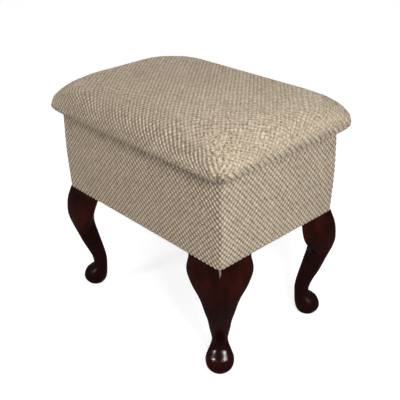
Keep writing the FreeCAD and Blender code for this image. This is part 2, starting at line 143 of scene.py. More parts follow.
# Shares of an edge's softness: how far its middle is set in, and how far in the outer cloth reaches
EDGE_MIDDLE = 0.25
EDGE_REACH = 1.1

# Room that the cloth leaves round the hinges
HINGE_MARGIN = 1.5 * MM
KNUCKLE_ROOM = 3.5 * MM
LEAF_THICK = 1.4 * MM
LEAF_GAP = 0.1 * MM

# Weave: nubs on a diamond lattice, its pitch along the front and across it, and its stretch on the box
WEAVE = (8.6 * MM, 9.6 * MM)
BOX_STRETCH = 1.06

# Relief of the nubs, the heights over which it comes in on the lid, and the height by the hinges without it
NUB_RELIEF = 1.0 * MM
RELIEF_FADE = (3 * MM, 7 * MM)
RELIEF_CLEAR = 14 * MM
# Finer relief of the nubs and fibres in the material
CLOTH_BUMP = 1.5 * MM
# How far up the side of a nub its groove reaches, and the least and most of its depth
GROOVE_WIDTH = 0.85
GROOVE_UNEVEN = (0.45, 1.45)
# Share of the groove's painted shade on upright and on level cloth
GROOVE_DEPTH = (0.86, 0.62)
# Share of painted shadow on one side of each nub, on the front and the back
NUB_SIDE_SHADOW = 0.85
# Share of shade in the specks between the fibres, on upright and on level cloth, and more of it where rubbed
SPECKS = (0.3, 0.5)
RUBBED_SPECKS = 0.7
# What is left of the grooves and of the nubs where the cloth is rubbed
RUBBED_GROOVE = 0.1
RUBBED_NUB = 0.2
# Share of painted shade in the tucks and along the lid's seam, and in the gathers
TUCK_SHADE = 0.8
GATHER_SHADE = 0.9
# How far the rows wander, as a share of their pitch, and the scales of the cloth's unevenness
WANDER = 0.16
WANDER_SCALE = 60.0
PATCH_SCALE = 14.0
UNEVEN_SCALE = 130.0
SPECK_SCALE = 300.0
FUZZ_SCALE = 900.0
# Colours of the nubs, and the painted shade of the grooves between two and of the slits where four meet
NUB_PALE = (0.84, 0.705, 0.54, 1)
NUB_DARK = (0.52, 0.42, 0.30, 1)
NUB_SHADE = (0.40, 0.322, 0.226, 1)
GROOVE_SHADE = (0.11, 0.082, 0.054, 1)
SLIT_SHADE = (0.012, 0.009, 0.006, 1)

# Stain of the legs, with red patches of stain and painted reddish sheen, the heights between which the ankle
# is darkest, and the grain
STAIN_DARK = (0.014, 0.0028, 0.0016, 1)
RED_STAIN_AND_SHEEN = (0.046, 0.0054, 0.0026, 1)
STAIN_GRAIN = (0.003, 0.0006, 0.0004, 1)
STAIN_AND_SHEEN_PATCHES = 22.0
ANKLE = (25 * MM, 50 * MM, 150 * MM)
LEG_GRAIN = (60.0, 60.0, 6.0)
LEG_BUMP = 0.012 * MM

# Other finishes: colours as (pale, dark), the grain and brushing along each axis, threads and bumps
PLY_COLOURS = ((0.66, 0.50, 0.32, 1), (0.50, 0.34, 0.19, 1))
PLY_GRAIN = (5.0, 70.0, 260.0)
PLY_BUMP = 0.2 * MM
ZINC_COLOURS = ((0.66, 0.67, 0.68, 1), (0.50, 0.51, 0.53, 1))
BRASS_COLOURS = ((0.78, 0.58, 0.27, 1), (0.60, 0.42, 0.17, 1))
BRUSHING = (40.0, 900.0, 900.0)
PLATING_CLOUDS = 220.0
PLATING_ROUGHNESS = (0.22, 0.42)
PLATING_BUMP = 0.03 * MM
LINING_COLOURS = ((0.66, 0.60, 0.49, 1), (0.45, 0.40, 0.31, 1))
LINING_THREAD = 1.1 * MM
LINING_BUMP = 0.25 * MM
SPUN_COLOURS = ((0.035, 0.035, 0.038, 1), (0.014, 0.014, 0.016, 1))
SPUN_THREAD = 2.2 * MM
SPUN_BUMP = 0.1 * MM
SLUB_SCALE = 60.0

# Dust cover: its grid, thickness, sag and ripples, and how far out the sag reaches
DUST_GRID = (48, 32)
DUST_THICK = 0.6 * MM
DUST_SAG = 1.6 * MM
SAG_REACH = 0.72
DUST_RIPPLE = 0.25 * MM
RIPPLE_WAVES = (23, 17)

# Staples along the dust cover, with their form as (share of the width, rise in millimetres)
STAPLE_PITCH = 38 * MM
STAPLE_WIDTH = 10 * MM
STAPLE_WIRE = 0.35 * MM
STAPLE_INSET = 6 * MM
STAPLE_REACH = (118 * MM, 52 * MM)
STAPLE_FORM = ((-0.5, 1.2), (-0.5, -0.15), (0.5, -0.15), (0.5, 1.2))

# Loose tip of cloth under the front right corner of the box
TIP_LENGTH = 10 * MM
TIP_WIDTH = 4.5 * MM
TIP_THICK = 1.2 * MM
TIP_START = 1 * MM
TIP_END = 0.3 * MM
TIP_TAPER = 0.7
TIP_SWAY = 0.8 * MM
TIP_FOLD = 0.6
TIP_NEAR = 3 * MM
TIP_ROWS = 9
TIP_ROUND = 8

# Light: the lamps are (name, place, aim, width, height, power), and the glints only show in the lacquer
WORLD_LIGHT = 0.53
FLOOR_SIZE = 14
FLOOR_COLOUR = (0.5, 0.5, 0.5, 1)
FLOOR_GLOW = 0.72
GLINTS = (
    ("right_glint", (1.0, -0.03, 0.90), (0.18, -0.12, 0.05), 0.4, 0.45, 215.0),
    ("left_glint", (0.0, -1.12, 0.90), (0.18, -0.12, 0.05), 0.28, 0.3, 140.0),
)
LAMPS = (
    ("key", (1.10, -0.52, 0.95), (0, 0, 0.3), 0.3, 0.3, 15.6),
    ("fill", (-0.55, -1.45, 0.95), (0, 0, 0.25), 0.3, 0.3, 9.2),
)

# Camera of the photograph
CAMERA_AZIMUTH = 47.44
CAMERA_ELEVATION = 28.10
CAMERA_ROLL = -0.958
CAMERA_TARGET = Vector((-17.54, 27.07, 201.49)) * MM
CAMERA_DISTANCE = 1.2446
CAMERA_LENS = 58.18
CAMERA_SENSOR = 36.0

# Each side as the way that it faces in plan and the way along it, counter-clockwise from the front
SIDES = (((0, -1), (1, 0)), ((1, 0), (0, 1)), ((0, 1), (-1, 0)), ((-1, 0), (0, -1)))


def smooth_line(rows, steps):
    """Points on a smooth curve through the rows of a table, with so many steps between two rows."""
    rows = np.array(rows, float)
    before = np.vstack([2 * rows[0] - rows[1], rows[:-2]])
    after = np.vstack([rows[2:], 2 * rows[-1] - rows[-2]])
    made = []
    for start, end, prior, later in zip(rows, rows[1:], before, after):
        for t in np.arange(steps) / steps:
            cubic = start * (2 * t**3 - 3 * t**2 + 1) + end * (3 * t**2 - 2 * t**3)
            leaving = (end - prior) / 2 * (t**3 - 2 * t**2 + t)
            arriving = (later - start) / 2 * (t**3 - t**2)
            made.append(cubic + leaving + arriving)
    made.append(rows[-1])
    return np.array(made)


def evenly(rows, pitch, columns):
    """A curve's points again, at even steps along the length that the named columns measure."""
    lengths = np.linalg.norm(np.diff(rows[:, columns], axis=0), axis=1)
    down = np.concatenate([[0], np.cumsum(lengths)])
    wanted = np.linspace(0, down[-1], round(down[-1] / pitch) + 1)
    return np.column_stack([np.interp(wanted, down, column) for column in rows.T]), wanted


def ramp(value, start, full):
    """Rises smoothly from nothing at start to one at full."""
    share = np.clip((value - start) / (full - start), 0, 1)
    return share * share * (3 - 2 * share)


class RingMesh:
    """Rings round a rounded rectangle, joined by quads whose corners know their place on the flat cloth."""

    def __init__(self, reaches, kept, pitch):
        """Reaches are half the front's and half the end's length on the widest ring, corners included."""
        self.counts = [2 * round(reach / step) for reach, step in zip(reaches, pitch)] * 2
        self.reaches = reaches
        self.kept = kept
        self.rings = []
        self.cloth = []

    def ring(self, half_x, half_y, radius, z, on_cloth):
        """Adds a ring; on_cloth gives each point's place on the cloth from its side, run, plan and facing."""
        points = []
        cloth = []
        for side, (facing, running) in enumerate(SIDES):
            half_out, half_along = (half_x, half_y) if side % 2 else (half_y, half_x)
            reach, kept = self.reaches[side % 2], self.kept[side % 2]
            widest = np.linspace(-reach, reach, self.counts[side] + 1)
            straight = half_along - radius
            tightened = (straight + radius * pi / 4 - kept) / (reach - kept)
            beyond = np.maximum(np.abs(widest) - kept, 0) * tightened
            run = np.sign(widest) * (np.minimum(np.abs(widest), kept) + beyond)
            turn = np.sign(run) * np.maximum(np.abs(run) - straight, 0) / radius
            along = np.clip(run, -straight, straight) + radius * np.sin(turn)
            out = half_out - radius * (1 - np.cos(turn))
            plan = np.outer(out, facing) + np.outer(along, running)
            faces_way = np.outer(np.cos(turn), facing) + np.outer(np.sin(turn), running)
            points.append(np.column_stack([plan, np.full(len(plan), z)])[:-1])
            cloth.append(on_cloth(side, run, plan, faces_way))
        self.rings.append(np.vstack(points))
        self.cloth.append(cloth)

    def build(self, name, caps=()):
        """The closed object: grids fill the rings that caps names, and without any the rings make a loop."""
        size = len(self.rings[0])
        points = [np.vstack(self.rings)]
        faces = []
        cloth = []
        following = range(1, len(self.rings) + (0 if caps else 1))
        for upper, lower in enumerate(number % len(self.rings) for number in following):
            first = 0
            for side, count in enumerate(self.counts):
                for step in range(count):
                    here = first + step
                    there = (here + 1) % size
                    over, under = upper * size, lower * size
                    faces.append([over + here, under + here, under + there, over + there])
                    near, far = self.cloth[upper][side], self.cloth[lower][side]
                    cloth.append([near[step], far[step], far[step + 1], near[step + 1]])
                first += count
        for ring in caps:
            self.fill(ring, points, faces, cloth)
        mesh = bpy.data.meshes.new(name)
        mesh.from_pydata(np.vstack(points).tolist(), [], faces)
        mesh.uv_layers.new(name="weave").data.foreach_set("uv", np.array(cloth, np.float32).ravel())
        mesh.polygons.foreach_set("use_smooth", np.ones(len(faces), bool))
        mesh.update()
        piece = bpy.data.objects.new(name, mesh)
        bpy.context.scene.collection.objects.link(piece)
        return piece

    def fill(self, ring, points, faces, cloth):
        """Fills a ring with a grid whose lines run between the points of opposite sides."""
        wide, deep = self.counts[:2]
        edge = np.arange(2 * (wide + deep))
        numbers = np.full((deep + 1, wide + 1), -1)
        numbers[0, :-1], numbers[:-1, -1] = edge[:wide], edge[wide:wide + deep]
        numbers[-1, :0:-1], numbers[:0:-1, 0] = edge[wide + deep:2 * wide + deep], edge[2 * wide + deep:]
        places = self.rings[ring][numbers]
        a = np.linspace(0, 1, wide + 1)[None, :, None]
        b = np.linspace(0, 1, deep + 1)[:, None, None]
        between = (1 - b) * places[:1] + b * places[-1:] + (1 - a) * places[:, :1] + a * places[:, -1:]
        corners = (1 - b) * ((1 - a) * places[0, 0] + a * places[0, -1])
        corners = corners + b * ((1 - a) * places[-1, 0] + a * places[-1, -1])
        places = between - corners
        inner = np.zeros(numbers.shape, bool)
        inner[1:-1, 1:-1] = True
        numbers[~inner] += ring * len(self.rings[ring])
        numbers[inner] = sum(len(block) for block in points) + np.arange(inner.sum())
        points.append(places[inner])
        turn = 1 if ring == 0 else -1
        for row in range(deep):
            for column in range(wide):
                spots = [(row, column), (row, column + 1), (row + 1, column + 1), (row + 1, column)][::turn]
                faces.append([int(numbers[spot]) for spot in spots])
                cloth.append([places[spot][:2] for spot in spots])


def points_of(piece):
    places = np.empty(len(piece.data.vertices) * 3)
    piece.data.vertices.foreach_get("co", places)
    return places.reshape(-1, 3)


def normals_of(piece):
    ways = np.empty(len(piece.data.vertices) * 3)
    piece.data.vertex_normals.foreach_get("vector", ways)
    return ways.reshape(-1, 3)


def set_points(piece, places):
    piece.data.vertices.foreach_set("co", places.ravel())
    piece.data.update()


def apply_modifiers(piece):
    """Keeps what the piece's modifiers make as its own mesh."""
    made = bpy.data.meshes.new_from_object(piece.evaluated_get(bpy.context.evaluated_depsgraph_get()))
    piece.modifiers.clear()
    piece.data = made


def subdivide(piece):
    """Divides each face in four, rounds the form and leaves the cloth coordinates straight."""
    division = piece.modifiers.new("rounding", "SUBSURF")
    division.levels = 1
    division.uv_smooth = "NONE"
    apply_modifiers(piece)


def swell(piece, held):
    """Blows the cover up against the stitches that hold it, and keeps a share of each capped move."""
    start = points_of(piece)
    group = piece.vertex_groups.new(name="held")
    group.add([int(number) for number in held], 1.0, "REPLACE")
    cloth = piece.modifiers.new("swell", "CLOTH")
    cloth.settings.vertex_group_mass = group.name
    cloth.settings.use_pressure = True
    cloth.settings.uniform_pressure_force = SWELL_PRESSURE
    cloth.settings.effector_weights.gravity = 0.0
    scene = bpy.context.scene
    for number in range(1, SWELL_FRAMES + 1):
        scene.frame_set(number)
    swollen = piece.evaluated_get(bpy.context.evaluated_depsgraph_get())
    moves = np.array([vertex.co for vertex in swollen.data.vertices]) - start
    piece.modifiers.remove(cloth)
    scene.frame_set(1)
    lengths = np.linalg.norm(moves, axis=1, keepdims=True)
    set_points(piece, start + SWELL_KEPT * moves * np.minimum(1, SWELL_CAP / np.maximum(lengths, 1e-9)))


def crown_height(x, y):
    """Height of the lid's top over its underside, by the distance in from the ring where the crown begins."""
    edge, inset, radius = np.array(LID_PROFILE[-2]) * MM
    top = LID_PROFILE[-1][0] * MM
    past_x = np.abs(x) - (lid_high.x - inset - radius)
    past_y = np.abs(y) - (lid_high.y - inset - radius)
    inward = radius - np.hypot(np.maximum(past_x, 0), np.maximum(past_y, 0))
    inward -= np.minimum(np.maximum(past_x, past_y), 0)
    share = np.clip(inward / (lid_high.y - inset), 0, 1)
    return top - (top - edge) * (1 - share) ** 2


def make_lid_cushion():
    """Crowned cover over the foam, turned under the board and open where the lining sits."""
    half_x, half_y, floor = lid_high.x, lid_high.y, lid_low.z
    rows = smooth_line(LID_PROFILE, PROFILE_STEPS)[:-PROFILE_STEPS][::-1] * MM
    rows, drops = evenly(rows, sum(WEAVE) / 4, [0, 1])
    crown_from = rows[0, 1]
    core = (half_x - crown_from, half_y - crown_from)
    reaches = [half - LID_CORNER * (1 - pi / 4) for half in (half_x, half_y)]
    kept = [half - rows[0, 2] for half in core]
    mesh = RingMesh(reaches, kept, [step / 2 for step in WEAVE])
    core_plan = {}

    def on_cloth(drop, side, run, plan, faces_way):
        """On the shoulder the cloth follows the plan, and lower down it hangs straight from each side."""
        facing, running = SIDES[side]
        origin = core_plan.setdefault(side, plan)
        radial = origin + faces_way * drop
        hung = np.outer(np.full(len(run), core[(side + 1) % 2] + drop), facing) + np.outer(run, running)
        return radial + (hung - radial) * ramp(drop, HANG_FROM, HANG_FULL)

    for (height, inset, radius), drop in zip(rows, drops):
        share = ramp(height, 0, EASE_HEIGHT)
        out = SIDE_EASE * share - inset
        place = (half_x + out, half_y + out, radius, floor + height - SWELL_START * share)
        mesh.ring(*place, lambda *spot, drop=drop: on_cloth(drop, *spot))
    formed = len(mesh.rings)
    lining_edge = half_x - lining_high.x - BOARD_GAP
    board_edge = half_x - board_high.x - BOARD_GAP
    board_top = board_high.z - floor + BOARD_GAP
    share = np.linspace(0, 1, UNDER_RINGS + 1)[1:]
    insets = rows[-1, 1] + (lining_edge - rows[-1, 1]) * share
    radii = rows[-1, 2] + (LINING_CORNER - rows[-1, 2]) * share
    under = [(inset, 0.0, radius) for inset, radius in zip(insets, radii)]
    under += [(lining_edge, COVER_THICK, LINING_CORNER), (board_edge, COVER_THICK, BOARD_CORNER)]
    under += [(board_edge, board_top, BOARD_CORNER), (crown_from, board_top, BOARD_CORNER)]
    drop = drops[-1]
    for inset, height, radius in under:
        drop += UNDER_STEP
        place = (half_x - inset, half_y - inset, radius, floor + height)
        mesh.ring(*place, lambda *spot, drop=drop: on_cloth(drop, *spot))
    piece = mesh.build("lid_cushion", caps=(0, len(mesh.rings) - 1))
    size = len(mesh.rings[0])
    ring_points = len(mesh.rings) * size
    top = slice(ring_points, ring_points + (mesh.counts[0] - 1) * (mesh.counts[1] - 1))
    places = points_of(piece)
    places[top, 2] = floor - SWELL_START + crown_height(places[top, 0], places[top, 1])
    set_points(piece, places)
    held = np.concatenate([np.arange((formed - 1) * size, ring_points), np.arange(top.stop, len(places))])
    swell(piece, held)
    subdivide(piece)
    keep_form(piece)
    fill_out(piece)
    tuck_corners(piece)
    height = points_of(piece)[:, 2] - floor
    raise_nubs(piece, ramp(height, *RELIEF_FADE) * outside(piece))
    clear_hinges(piece, over=True)
    return piece


def outside(piece):
    """One for each point whose cloth faces out or up, and nothing under the lid and inside it."""
    places, normals = points_of(piece), normals_of(piece)
    outward = np.sum(places * normals * (1, 1, 0), axis=1) > 0
    on_side = outward & (normals[:, 2] > -LEVEL)
    on_top = (normals[:, 2] > LEVEL) & (places[:, 2] > board_high.z + OVER_BOARD)
    return on_side | on_top


def keep_form(piece):
    """Brings the lid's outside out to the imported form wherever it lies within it."""
    places, normals = points_of(piece), normals_of(piece)
    height = places[:, 2] - lid_low.z
    levels, insets, radii = np.array(LID_PROFILE[:-1]).T * MM
    inset, radius = np.interp(height, levels, insets), np.interp(height, levels, radii)
    past = np.abs(places[:, :2]) - (np.array(lid_high[:2]) - (inset + radius)[:, None])
    beyond = np.hypot(*np.maximum(past, 0).T) + np.minimum(past.max(axis=1), 0) - radius
    short = np.maximum(-beyond, 0) * np.hypot(*normals[:, :2].T) * (height < levels[-1])
    set_points(piece, places + normals * (short * outside(piece))[:, None])


def fill_out(piece):
    """Swells the lid where its stuffing is fuller, but not at its lower edge."""
    places = points_of(piece)
    height = places[:, 2] - lid_low.z
    swelling = np.zeros(len(places))
    for x, y, level, spread, swell_by in FULLER:
        away = np.linalg.norm(places - np.array((x * MM, y * MM, lid_low.z + level * MM)), axis=1)
        swelling += swell_by * MM * np.exp(-((away / (spread * MM)) ** 2) / 2)
    swelling *= ramp(height, 0, FULLER_RISE)
    set_points(piece, places + normals_of(piece) * swelling[:, None])


def mark(piece, name, amounts):
    """Writes a number at each point of the piece for its material to read."""
    piece.data.attributes.new(name, "FLOAT", "POINT").data.foreach_set("value", amounts.astype(np.float32))


def raise_nubs(piece, share):
    """Gives the nubs of the weave their relief, of which each point takes its share."""
    mesh = piece.data
    corners = np.empty(len(mesh.loops), np.int32)
    mesh.loops.foreach_get("vertex_index", corners)
    spots = np.empty(2 * len(mesh.loops), np.float32)
    mesh.uv_layers["weave"].data.foreach_get("uv", spots)
    cloth = np.zeros((len(mesh.vertices), 2))
    cloth[corners] = spots.reshape(-1, 2)
    relief = NUB_RELIEF / 2 * (1 - np.prod(np.cos(2 * pi * cloth / np.array(WEAVE)), axis=1))
    set_points(piece, points_of(piece) + normals_of(piece) * (relief * share)[:, None])


def tuck_corners(piece):
    """Folds the spare cloth in at each corner of the lid, gathers the lower edge of its ends, and marks
    painted shade in the tucks and along the seam.
    """
    places = points_of(piece)
    normals = normals_of(piece)
    past = np.abs(places[:, :2]) - (np.array(lid_high[:2]) - LID_CORNER)
    turned = np.arctan2(np.maximum(past[:, 1], 0), np.maximum(past[:, 0], 1e-6))
    along = LID_CORNER * (turned - pi / 4) + np.maximum(-past[:, 0], 0) - np.maximum(-past[:, 1], 0)
    height = places[:, 2] - lid_low.z
    inward = np.zeros(len(places))
    for place, depth, width, reach in TUCKS:
        fold = np.exp(-(((along / MM - place) / width) ** 2))
        inward += depth * MM * fold * (1 - ramp(height / MM, 0, reach))
    on_end = ramp(np.abs(normals[:, 0]), *END_FACING)
    low = 1 - ramp(height, GATHER_FULL, GATHER_HEIGHT)
    slanted = places[:, 1] + GATHER_SLANT * places[:, 2]
    gather = on_end * low * (1 - np.abs(np.sin(pi * slanted / GATHER_PITCH))) ** 2
    inward += GATHER_DEPTH * gather
    from_corner = (past[:, 0] - past[:, 1]) / np.sqrt(2)
    over_edge = ramp(LID_PROFILE[-2][0] * MM - height, 0, RUBBED_FADE)
    rubbed = np.maximum(np.exp(-((from_corner / RUBBED) ** 2)) * over_edge, RUBBED_ENDS * on_end)
    on_top = ramp(places[:, 0], RUBBED_FROM, RUBBED_FULL) * (normals[:, 2] > 0)
    mark(piece, "rubbed", np.maximum(rubbed, RUBBED_TOP * on_top))
    # Painted shadow along the seam under the lid's roll, and painted shade in the folds of the tucks
    seam = SEAM_SHADE * (1 - ramp(height, 0, SEAM_HEIGHT)) * ramp(normals[:, 2], *SEAM_FACING)
    mark(piece, "tuck_and_seam_shade", np.clip(seam + (inward - GATHER_DEPTH * gather) / TUCK_DARK, 0, 1))
    places[:, :2] -= normals[:, :2] * inward[:, None]
    set_points(piece, places)


def clear_hinges(piece, over):
    """Presses the cloth away from the leaves and knuckles of the hinges: up where it lies over them."""
    places = points_of(piece)
    x, y, z = np.abs(places[:, 0]), places[:, 1], places[:, 2]
    pivot_y, pivot_z = (pin_low.y + pin_high.y) / 2, (pin_low.z + pin_high.z) / 2
    beside = (x > leaf_low.x - HINGE_MARGIN) & (x < leaf_high.x + HINGE_MARGIN)
    away = np.hypot(y - pivot_y, z - pivot_z)
    knuckle = beside & (away < KNUCKLE_ROOM)
    push = KNUCKLE_ROOM / np.maximum(away, LEAF_GAP)
    y[knuckle] = (pivot_y + (y - pivot_y) * push)[knuckle]
    z[knuckle] = (pivot_z + (z - pivot_z) * push)[knuckle]
    leaf = beside & (y > leaf_low.y - HINGE_MARGIN) & (y < pivot_y)
    if over:
        bed = lid_low.z + LEAF_THICK + LEAF_GAP
        z[leaf & (z < bed)] = bed
    else:
        bed = box_high.z - LEAF_THICK - LEAF_GAP
        z[leaf & (z > bed)] = bed
    set_points(piece, places)


def make_box_wrap():
    """Cover round the box, turned under its lower edge and over the rim to the inside."""
    half_x, half_y, low, high = box_high.x, box_high.y, box_low.z, box_high.z
    pitch = [step * BOX_STRETCH for step in WEAVE]
    soft, sharp = BOX_EDGE, EDGE_MIDDLE * BOX_EDGE
    inner = WALL + 2 * COVER_THICK
    levels = np.linspace(high - soft, low + soft, round((high - low) / pitch[1] * 2))
    path = [(inner, high - TURN_IN), (inner, high - soft)]
    path += [(inner - sharp, high - sharp), (inner - soft, high)]
    path += [(inset, high) for inset in np.linspace(inner - soft, soft, RIM_RINGS)[1:]]
    path += [(sharp, high - sharp)]
    path += [(-BOX_PUFF * sin(pi * (high - level) / (high - low)) ** 2, level) for level in levels]
    path += [(sharp, low + sharp), (soft, low), (TURN_UNDER / 2, low), (TURN_UNDER, low)]
    path += [(TURN_UNDER, low + COVER_THICK), (COVER_THICK, low + COVER_THICK)]
    path += [(COVER_THICK, high - COVER_THICK), (WALL + COVER_THICK, high - COVER_THICK)]
    path += [(WALL + COVER_THICK, high - TURN_IN)]
    reaches = [half - BOX_CORNER * (1 - pi / 4) for half in (half_x, half_y)]
    mesh = RingMesh(reaches, (0, 0), [step / 2 for step in pitch])
    starts = np.cumsum([0, reaches[0], reaches[1], reaches[0]]) + np.cumsum([reaches[0], reaches[1]] * 2)
    round_box = 4 * sum(reaches)
    stretch = round(round_box / pitch[0]) * WEAVE[0] / round_box

    def on_cloth(drop, side, run, plan, faces_way):
        """The cloth runs round the box in one strip, which is joined at the front left corner."""
        share = run / np.abs(run).max() * reaches[side % 2]
        return np.column_stack([(starts[side] + share) * stretch, np.full(len(run), -drop / BOX_STRETCH)])

    drop = 0.0
    for number, (inset, z) in enumerate(path):
        if number:
            drop += np.hypot(inset - path[number - 1][0], z - path[number - 1][1])
        radius = max(BOX_CORNER - inset, LEAST_RADIUS)
        mesh.ring(half_x - inset, half_y - inset, radius, z, lambda *spot, drop=drop: on_cloth(drop, *spot))
    piece = mesh.build("box_wrap")
    subdivide(piece)
    places = points_of(piece)
    outer = np.max(np.abs(places[:, :2]) - (half_x, half_y), axis=1) > -EDGE_REACH * BOX_EDGE
    by_hinges = (places[:, 1] > half_y - WALL) & (places[:, 2] > high - RELIEF_CLEAR)
    raise_nubs(piece, outer & ~by_hinges & (places[:, 2] < high - BOX_EDGE))
    clear_hinges(piece, over=False)
    return piece


def make_cloth_tip():
    """Folded tip of the cover that hangs out under the box corner and lies on the crest of the knee."""
    leg = frame["nodes"]["front_right_leg"]
    crest = points_of(leg) @ np.array(leg.matrix_world.to_3x3()).T + np.array(leg.matrix_world.translation)
    reach = (crest[:, 0] - crest[:, 1]) / np.sqrt(2)
    middle = (box_high.x + box_low.y) / np.sqrt(2)
    levels = np.linspace(box_low.z + TIP_START, box_low.z - TIP_LENGTH, TIP_ROWS)
    points = []
    for level in levels:
        near = np.abs(crest[:, 2] - level) < TIP_NEAR
        out = reach[near].max() if near.any() else (box_high.x - box_low.y) / np.sqrt(2)
        share = (levels[0] - level) / (levels[0] - levels[-1])
        half = TIP_WIDTH / 2 * (1 - share) ** TIP_TAPER + TIP_END
        for turn in np.linspace(0, 2 * pi, TIP_ROUND, endpoint=False):
            side = middle + half * sin(turn) + TIP_SWAY * sin(3 * share)
            thick = TIP_THICK * (0.5 - 0.2 * share + 0.5 * cos(turn))
            front = out + thick - np.abs(half * sin(turn)) * TIP_FOLD
            points.append(((front + side) / np.sqrt(2), (side - front) / np.sqrt(2), level))
    faces = [list(range(TIP_ROUND)), list(range(len(points) - TIP_ROUND, len(points)))[::-1]]
    for row in range(TIP_ROWS - 1):
        for step in range(TIP_ROUND):
            here = row * TIP_ROUND + step
            there = row * TIP_ROUND + (step + 1) % TIP_ROUND
            faces.append([here, here + TIP_ROUND, there + TIP_ROUND, there])
    mesh = bpy.data.meshes.new("cloth_tip")
    mesh.from_pydata(points, [], faces)
    mesh.uv_layers.new(name="weave")
    piece = bpy.data.objects.new("cloth_tip", mesh)
    bpy.context.scene.collection.objects.link(piece)
    subdivide(piece)
    piece.data.polygons.foreach_set("use_smooth", np.ones(len(piece.data.polygons), bool))
    return piece


def make_dust_sheet():
    """Thin cloth stretched under the base, hanging a little between its stapled edges."""
    columns, rows = DUST_GRID
    bpy.ops.mesh.primitive_grid_add(x_subdivisions=columns, y_subdivisions=rows, size=2.0)
    piece = bpy.context.object
    piece.name = "dust_sheet"
    places = points_of(piece)
    x, y = places[:, 0], places[:, 1]
    sag = DUST_SAG * np.prod(1 - np.clip(np.abs(places[:, :2]) / SAG_REACH, 0, 1) ** 2, axis=1)
    ripple = DUST_RIPPLE * np.sin(RIPPLE_WAVES[0] * x) * np.sin(RIPPLE_WAVES[1] * y + x)
    places *= np.array(dust_high)
    places[:, 2] = dust_low.z + DUST_THICK / 2 - sag + ripple * (sag > 0)
    set_points(piece, places)
    sheet = piece.modifiers.new("thickness", "SOLIDIFY")
    sheet.thickness = DUST_THICK
    sheet.offset = 1.0
    apply_modifiers(piece)
    piece.data.polygons.foreach_set("use_smooth", np.ones(len(piece.data.polygons), bool))
    return piece


def make_staples():
    """Wire staples along the edges of the dust cover, between the legs."""
    wire = bpy.data.curves.new("staples", "CURVE")
    wire.dimensions = "3D"
    wire.bevel_depth = STAPLE_WIRE
    wire.bevel_resolution = 1
    edges = (dust_high.y - STAPLE_INSET, dust_high.x - STAPLE_INSET)
    for along, (half, edge) in enumerate(zip(STAPLE_REACH, edges)):
        for side in (-1, 1):
            for middle in np.linspace(-half, half, round(2 * half / STAPLE_PITCH) + 1):
                path = wire.splines.new("POLY")
                path.points.add(len(STAPLE_FORM) - 1)
                for point, (share, rise) in zip(path.points, STAPLE_FORM):
                    plan = [side * edge] * 2
                    plan[along] = middle + share * STAPLE_WIDTH
                    point.co = (*plan, dust_low.z + rise * MM, 1)
    piece = bpy.data.objects.new("staples", wire)
    bpy.context.scene.collection.objects.link(piece)
    return piece


class Finish:
    """A material whose nodes are added by short calls."""

    def __init__(self, name, sockets):
        self.material = bpy.data.materials.new(name)
        self.material.use_nodes = True
        self.tree = self.material.node_tree
        self.surface = self.tree.nodes["Principled BSDF"]
        for socket, value in sockets.items():
            self.surface.inputs[socket].default_value = value

    def fill(self, socket, value):
        if isinstance(value, bpy.types.NodeSocket):
            self.tree.links.new(value, socket)
        else:
            socket.default_value = value

    def node(self, kind, output, sockets, **settings):
        made = self.tree.nodes.new(kind)
        for name, value in settings.items():
            setattr(made, name, value)
        for name, value in sockets.items():
            self.fill(made.inputs[name], value)
        return made.outputs[output]

    def math(self, operation, first, second=0.0):
        return self.node("ShaderNodeMath", 0, {0: first, 1: second}, operation=operation)

    def noise(self, place, scale, detail=2.0):
        sockets = {"Vector": place, "Scale": scale, "Detail": detail}
        return self.node("ShaderNodeTexNoise", "Fac", sockets)

    def mix(self, share, first, second):
        sockets = {"Factor": share, 6: first, 7: second}
        return self.node("ShaderNodeMix", 2, sockets, data_type="RGBA")

    def span(self, value, low, high, until=1.0, since=0.0):
        """Carries the range from since to until over to the range from low to high."""
        sockets = {"Value": value, "From Min": since, "From Max": until, "To Min": low, "To Max": high}
        return self.node("ShaderNodeMapRange", "Result", sockets)

    def bump(self, height, distance):
        sockets = {"Height": height, "Distance": distance, "Strength": 1.0}
        self.fill(self.surface.inputs["Normal"], self.node("ShaderNodeBump", 0, sockets))

    def colour(self, value):
        self.fill(self.surface.inputs["Base Color"], value)

    def place(self):
        return self.node("ShaderNodeTexCoord", "Object", {})


def gathers(finish, facing):
    """Painted shade: thin slanting dark lines in the creases of the gathers along the lower edge of the lid's
    ends.
    """
    spot = finish.tree.nodes.new("ShaderNodeSeparateXYZ")
    finish.fill(spot.inputs[0], finish.place())
    y, z = spot.outputs[1:]
    slanted = finish.math("ADD", y, finish.math("MULTIPLY", z, GATHER_SLANT))
    wave = finish.math("SINE", finish.math("MULTIPLY", slanted, pi / GATHER_PITCH))
    line = finish.span(finish.math("ABSOLUTE", wave), 1.0, 0.0, 0.6)
    low = finish.span(z, 1.0, 0.0, lid_low.z + GATHER_HEIGHT, lid_low.z + GATHER_FULL)
    on_lid = finish.math("GREATER_THAN", z, lid_low.z - LID_MARGIN)
    on_end = finish.span(finish.math("ABSOLUTE", facing.outputs[0]), 0.0, 1.0, END_FACING[1], END_FACING[0])
    low_line = finish.math("MULTIPLY", line, low)
    return finish.math("MULTIPLY", low_line, finish.math("MULTIPLY", on_lid, on_end))


